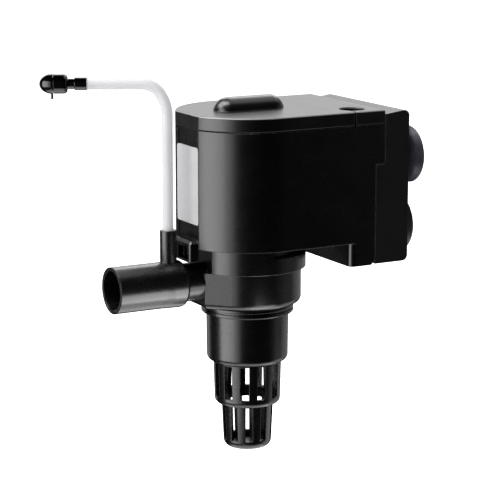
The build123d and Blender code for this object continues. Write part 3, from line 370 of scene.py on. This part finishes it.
def smooth_curve(points, steps=5):
    """Points of a Catmull-Rom curve through the given (radius, x) points."""
    padded = [points[0], *points, points[-1]]
    curve = []
    for four in zip(padded, padded[1:], padded[2:], padded[3:]):
        for step in range(steps):
            curve.append(tuple(catmull_rom(*along, step / steps) for along in zip(*four)))
    return curve + [points[-1]]


def lathe_x(name, profile, centre_y, centre_z, count, ripple):
    """Mesh turned about a line along X from (radius, x) pairs in metres, closed at the axis.
    The function ripple(radius, x, angle) says how far each point is shifted along X."""
    mesh = bpy.data.meshes.new(name)
    bm = bmesh.new()
    rings = []
    for radius, x in profile:
        if radius < ON_AXIS:
            rings.append([bm.verts.new((x, centre_y, centre_z))])
            continue
        loop = []
        for i in range(count):
            angle = 2 * math.pi * i / count
            y, z = centre_y + radius * math.cos(angle), centre_z + radius * math.sin(angle)
            loop.append(bm.verts.new((x + ripple(radius, x, angle), y, z)))
        rings.append(loop)
    for lower, upper in zip(rings, rings[1:]):
        for i in range(count):
            j = (i + 1) % count
            corners = [ring[k % len(ring)] for ring, k in ((lower, i), (lower, j), (upper, j), (upper, i))]
            bm.faces.new(list(dict.fromkeys(corners)))      # a ring of one point gives one corner only
    bmesh.ops.recalc_face_normals(bm, faces=bm.faces)
    for face in bm.faces:
        face.smooth = True
    bm.to_mesh(mesh)
    bm.free()
    return mesh


# ---------------------------------------------------------------- suction cups
# The cup's outline, in mm: radius, and x from the plane of the lips, which is the glass.
CUP_HOLLOW = [(0, -3.15), (4.5, -2.9), (8.4, -1.85), (10.6, -0.75), (11.6, -0.12), (12.1, -0.02)]
CUP_LIP = [(12.35, -0.12), (12.5, -0.4), (12.42, -0.75)]
CUP_BACK = [(12.1, -1.05), (11.5, -1.75), (10.9, -2.55), (10.3, -3.2), (9.3, -3.95), (8.0, -4.85),
            (7.0, -5.5), (6.3, -5.95)]
CUP_GROOVE = [(5.9, -6.15), (5.4, -6.2), (3.2, -6.22), (3.0, -6.35)]
CUP_STEM = [(3.0, -8.95), (3.15, -9.08), (4.4, -9.1), (4.6, -9.3), (4.45, -9.9)]
CUP_KNOB = [(3.6, 0.35), (3.1, 0.05), (2.4, 0), (0, 0)]     # x from the knob's end
CUP_SEGMENTS = 96
CUP_RIB_COUNT = 24
CUP_RIB_HEIGHT = 0.06 * MM
CUP_RIB_RADII = (6.6 * MM, 10.6 * MM)
CUP_RIB_FRONT = -2.4 * MM      # the ribs lie behind this x
CUP_RIB_SHARPNESS = 6


def cup_rib(radius, x, angle):
    """Fine spokes on the rounded back of a cup."""
    inner, outer = CUP_RIB_RADII
    if not inner < radius < outer or x > CUP_RIB_FRONT:
        return 0.0
    return -CUP_RIB_HEIGHT * max(0.0, math.cos(CUP_RIB_COUNT * angle)) ** CUP_RIB_SHARPNESS


def add_cup(node):
    """Soft cup: deep hollow towards the glass, thin rolled lip, stepped back, neck and knob."""
    low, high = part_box(node)
    end = low[0] / MM
    knob = [(radius, end + x) for radius, x in CUP_KNOB]
    outline = smooth_curve(CUP_HOLLOW) + CUP_LIP + smooth_curve(CUP_BACK) + CUP_GROOVE + CUP_STEM + knob
    profile = [(radius * MM, x * MM) for radius, x in outline]
    centre_y, centre_z = (low[1] + high[1]) / 2, (low[2] + high[2]) / 2
    mesh = lathe_x(node + "_soft", profile, centre_y, centre_z, CUP_SEGMENTS, cup_rib)
    cup = new_piece(node + "_soft", mesh, "cup", "hanger")
    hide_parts(node)


# ---------------------------------------------------------------- air tube
TUBE_RADIUS = 2.4 * MM
TUBE_TURN = math.radians(28.8)      # the level run is turned this far from -X towards +Y
VALVE = ("air_valve_body", "air_valve_cap", "air_valve_pin")
# Distance out from the socket's axis and height above its mouth, in mm: the points of the CAD model's
# route, and one more on each straight run, near its bend, that keeps the run straight up to there.
TUBE_ROUTE = [(0.0, -8.0), (0.0, 43.7), (0.0, 53.8), (5.6, 62.2), (15.7, 62.2), (33.4, 62.2)]


def tube_point(out, up, mouth):
    """A route point in metres."""
    return mouth + Vector((-out * math.cos(TUBE_TURN), out * math.sin(TUBE_TURN), up)) * MM


def add_tube():
    """Air tube from inside the socket's mouth to the valve."""
    low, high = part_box("air_tube")
    mouth = Vector((high[0] - TUBE_RADIUS, low[1] + TUBE_RADIUS, low[2] - TUBE_ROUTE[0][1] * MM))
    curve = bpy.data.curves.new("air_tube_soft", "CURVE")
    curve.dimensions = "3D"
    curve.bevel_depth = TUBE_RADIUS
    curve.bevel_resolution = 8
    curve.resolution_u = 24
    curve.use_fill_caps = True
    points = [tube_point(out, up, mouth) for out, up in TUBE_ROUTE]
    spline = curve.splines.new("NURBS")
    spline.points.add(len(points) - 1)
    for knot, place in zip(spline.points, points):
        knot.co = (*place, 1)
    spline.order_u = 3
    spline.use_endpoint_u = True
    spline.use_smooth = True
    tube = new_piece("air_tube_soft", curve, "tube", "outlet")
    tube.visible_shadow = False       # milky and clear: it lets the light through to the plate behind it
    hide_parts("air_tube")


# ---------------------------------------------------------------- stage
FLOOR_Z = -0.30
FLOOR_SIZE = 16.0
DOME_RADIUS = 8.0
BACKDROP_CLOUDS = 0.6
WORLD_STRENGTH = 0.4


def backdrop_white():
    """White of a lit studio backdrop, which glows by itself because no light is spent on it."""
    m = Material("backdrop")
    m.clouds(BACKDROP_CLOUDS, (0.8, 0.8, 0.8), (0.816, 0.816, 0.816), detail=2.0)
    m.set(Roughness=0.9, Specular_IOR_Level=0.1, Emission_Color=(1, 1, 1, 1), Emission_Strength=1.0)
    return m.material


def add_backdrop_piece(name, mesh, material):
    """Shows a backdrop to the camera and through clear pieces, and keeps it out of the lighting."""
    mesh.materials.append(material)
    piece = bpy.data.objects.new(name, mesh)
    piece.visible_diffuse = piece.visible_glossy = piece.visible_shadow = False
    bpy.context.scene.collection.objects.link(piece)


def add_backdrop():
    """Pale floor, and a studio dome of the same white round it."""
    white = backdrop_white()
    half = FLOOR_SIZE / 2
    corners = [(-half, -half, FLOOR_Z), (half, -half, FLOOR_Z), (half, half, FLOOR_Z), (-half, half, FLOOR_Z)]
    floor = bpy.data.meshes.new("floor")
    floor.from_pydata(corners, [], [(0, 1, 2, 3)])
    add_backdrop_piece("floor", floor, white)
    dome = bpy.data.meshes.new("dome")
    bm = bmesh.new()
    bmesh.ops.create_uvsphere(bm, u_segments=32, v_segments=16, radius=DOME_RADIUS)
    bm.to_mesh(dome)
    bm.free()
    add_backdrop_piece("dome", dome, white)


def light_only_some(light, only, never):
    """Links a light to the pieces in only, or to all but those in never."""
    group = bpy.data.collections.new(light.name + "_pieces")
    for piece in only + never:
        group.objects.link(bpy.data.objects[piece])
    for member in group.collection_objects:
        member.light_linking.link_state = "INCLUDE" if only else "EXCLUDE"
    light.light_linking.receiver_collection = group


def add_card(name, target, azimuth, elevation, distance, width, height, radiance, only, never):
    """A soft light of even radiance that faces its target from the given direction and distance."""
    data = bpy.data.lights.new(name, "AREA")
    data.shape = "RECTANGLE"
    data.size, data.size_y = width, height
    data.energy = radiance * math.pi * width * height
    light = bpy.data.objects.new(name, data)
    bpy.context.scene.collection.objects.link(light)
    out = direction(azimuth, elevation)
    light.location = target + out * distance
    light.rotation_mode = "QUATERNION"
    light.rotation_quaternion = (-out).to_track_quat("-Z", "Y")
    light.visible_camera = False
    if only or never:
        light_only_some(light, only, never)


# What the lights aim at: the pump's middle, the outlet pipe, the lid's grip ridge and the outlet's stub.
PUMP = CAMERA_AIM
OUTLET = Vector((-117, -8, -38)) * MM
RIDGE = Vector((-85, 0, 40)) * MM
STUB = Vector((-104, -2, -37)) * MM
CUPS = tuple(name + "_soft" for name in nodes if name.startswith("suction_cup_"))
# Angles are in degrees and sizes in metres. A light shines on all pieces, or only on some, or never on some.
CARDS = [
    # name, target, azimuth, elevation, distance, width, height, radiance, only, never
    ("key", PUMP, -93, 2, 1.4, 0.85, 1.5, 6.0, (), CUPS),
    ("key_fade", PUMP, -70, 2, 1.4, 0.28, 1.5, 5.2, (), CUPS),
    ("key_edge", PUMP, -57, 2, 1.4, 0.30, 1.5, 2.2, (), CUPS),
    ("rear_left", PUMP, -172, 0, 2.0, 0.9, 1.6, 0.7, (), ()),
    ("right_low", PUMP, 62, 6, 1.8, 1.7, 1.2, 0.30, (), ()),
    ("right_back", PUMP, 112, 8, 2.0, 2.0, 2.2, 0.50, (), ()),
    ("back", PUMP, 160, 14, 2.2, 2.4, 2.0, 1.2, (), ()),
    ("back_high", PUMP, 146, 38, 2.2, 1.6, 0.8, 4.0, (), ()),
    ("below_right", PUMP, 80, -38, 1.1, 0.9, 0.70, 1.4, (), ()),
    ("floor", PUMP, 0, -88, 0.45, 0.65, 0.65, 2.6, (), ()),
    ("top", PUMP, -60, 78, 1.0, 0.45, 0.45, 10.0, (), VALVE),
    ("outlet_strip", OUTLET, 36, -36, 0.20, 0.13, 0.14, 8.0, ("outlet_pipe",), ()),
    ("ridge_top", RIDGE, 100, 56, 0.60, 0.5, 0.5, 1.3, (), ()),
    ("ridge_end", RIDGE, -112, 52, 0.50, 0.40, 0.40, 9.0, (), VALVE),
    ("stub_strip", STUB, 36, -36, 0.06, 0.036, 0.045, 4.0, ("volute_chamber",), ()),
]


def add_stage():
    """Backdrop, an even white world that reflections leave out, and the lights."""
    add_backdrop()
    world = bpy.data.worlds.new("studio")
    world.use_nodes = True
    background = world.node_tree.nodes["Background"]
    background.inputs["Color"].default_value = (1, 1, 1, 1)
    background.inputs["Strength"].default_value = WORLD_STRENGTH
    world.cycles_visibility.glossy = False
    scene = bpy.context.scene
    scene.world = world
    for card in CARDS:
        add_card(*card)
    scene.view_settings.view_transform = "Standard"
    scene.view_settings.look = "None"


# ---------------------------------------------------------------- all together
add_camera()
add_tube()
for subpart in frame["record"]["subparts"]:
    if subpart["node"].startswith("suction_cup_"):
        add_cup(subpart["node"])
    elif subpart["node"] != "air_tube":
        finish_cad_piece(subpart["node"], subpart["material_slot"])
add_stage()
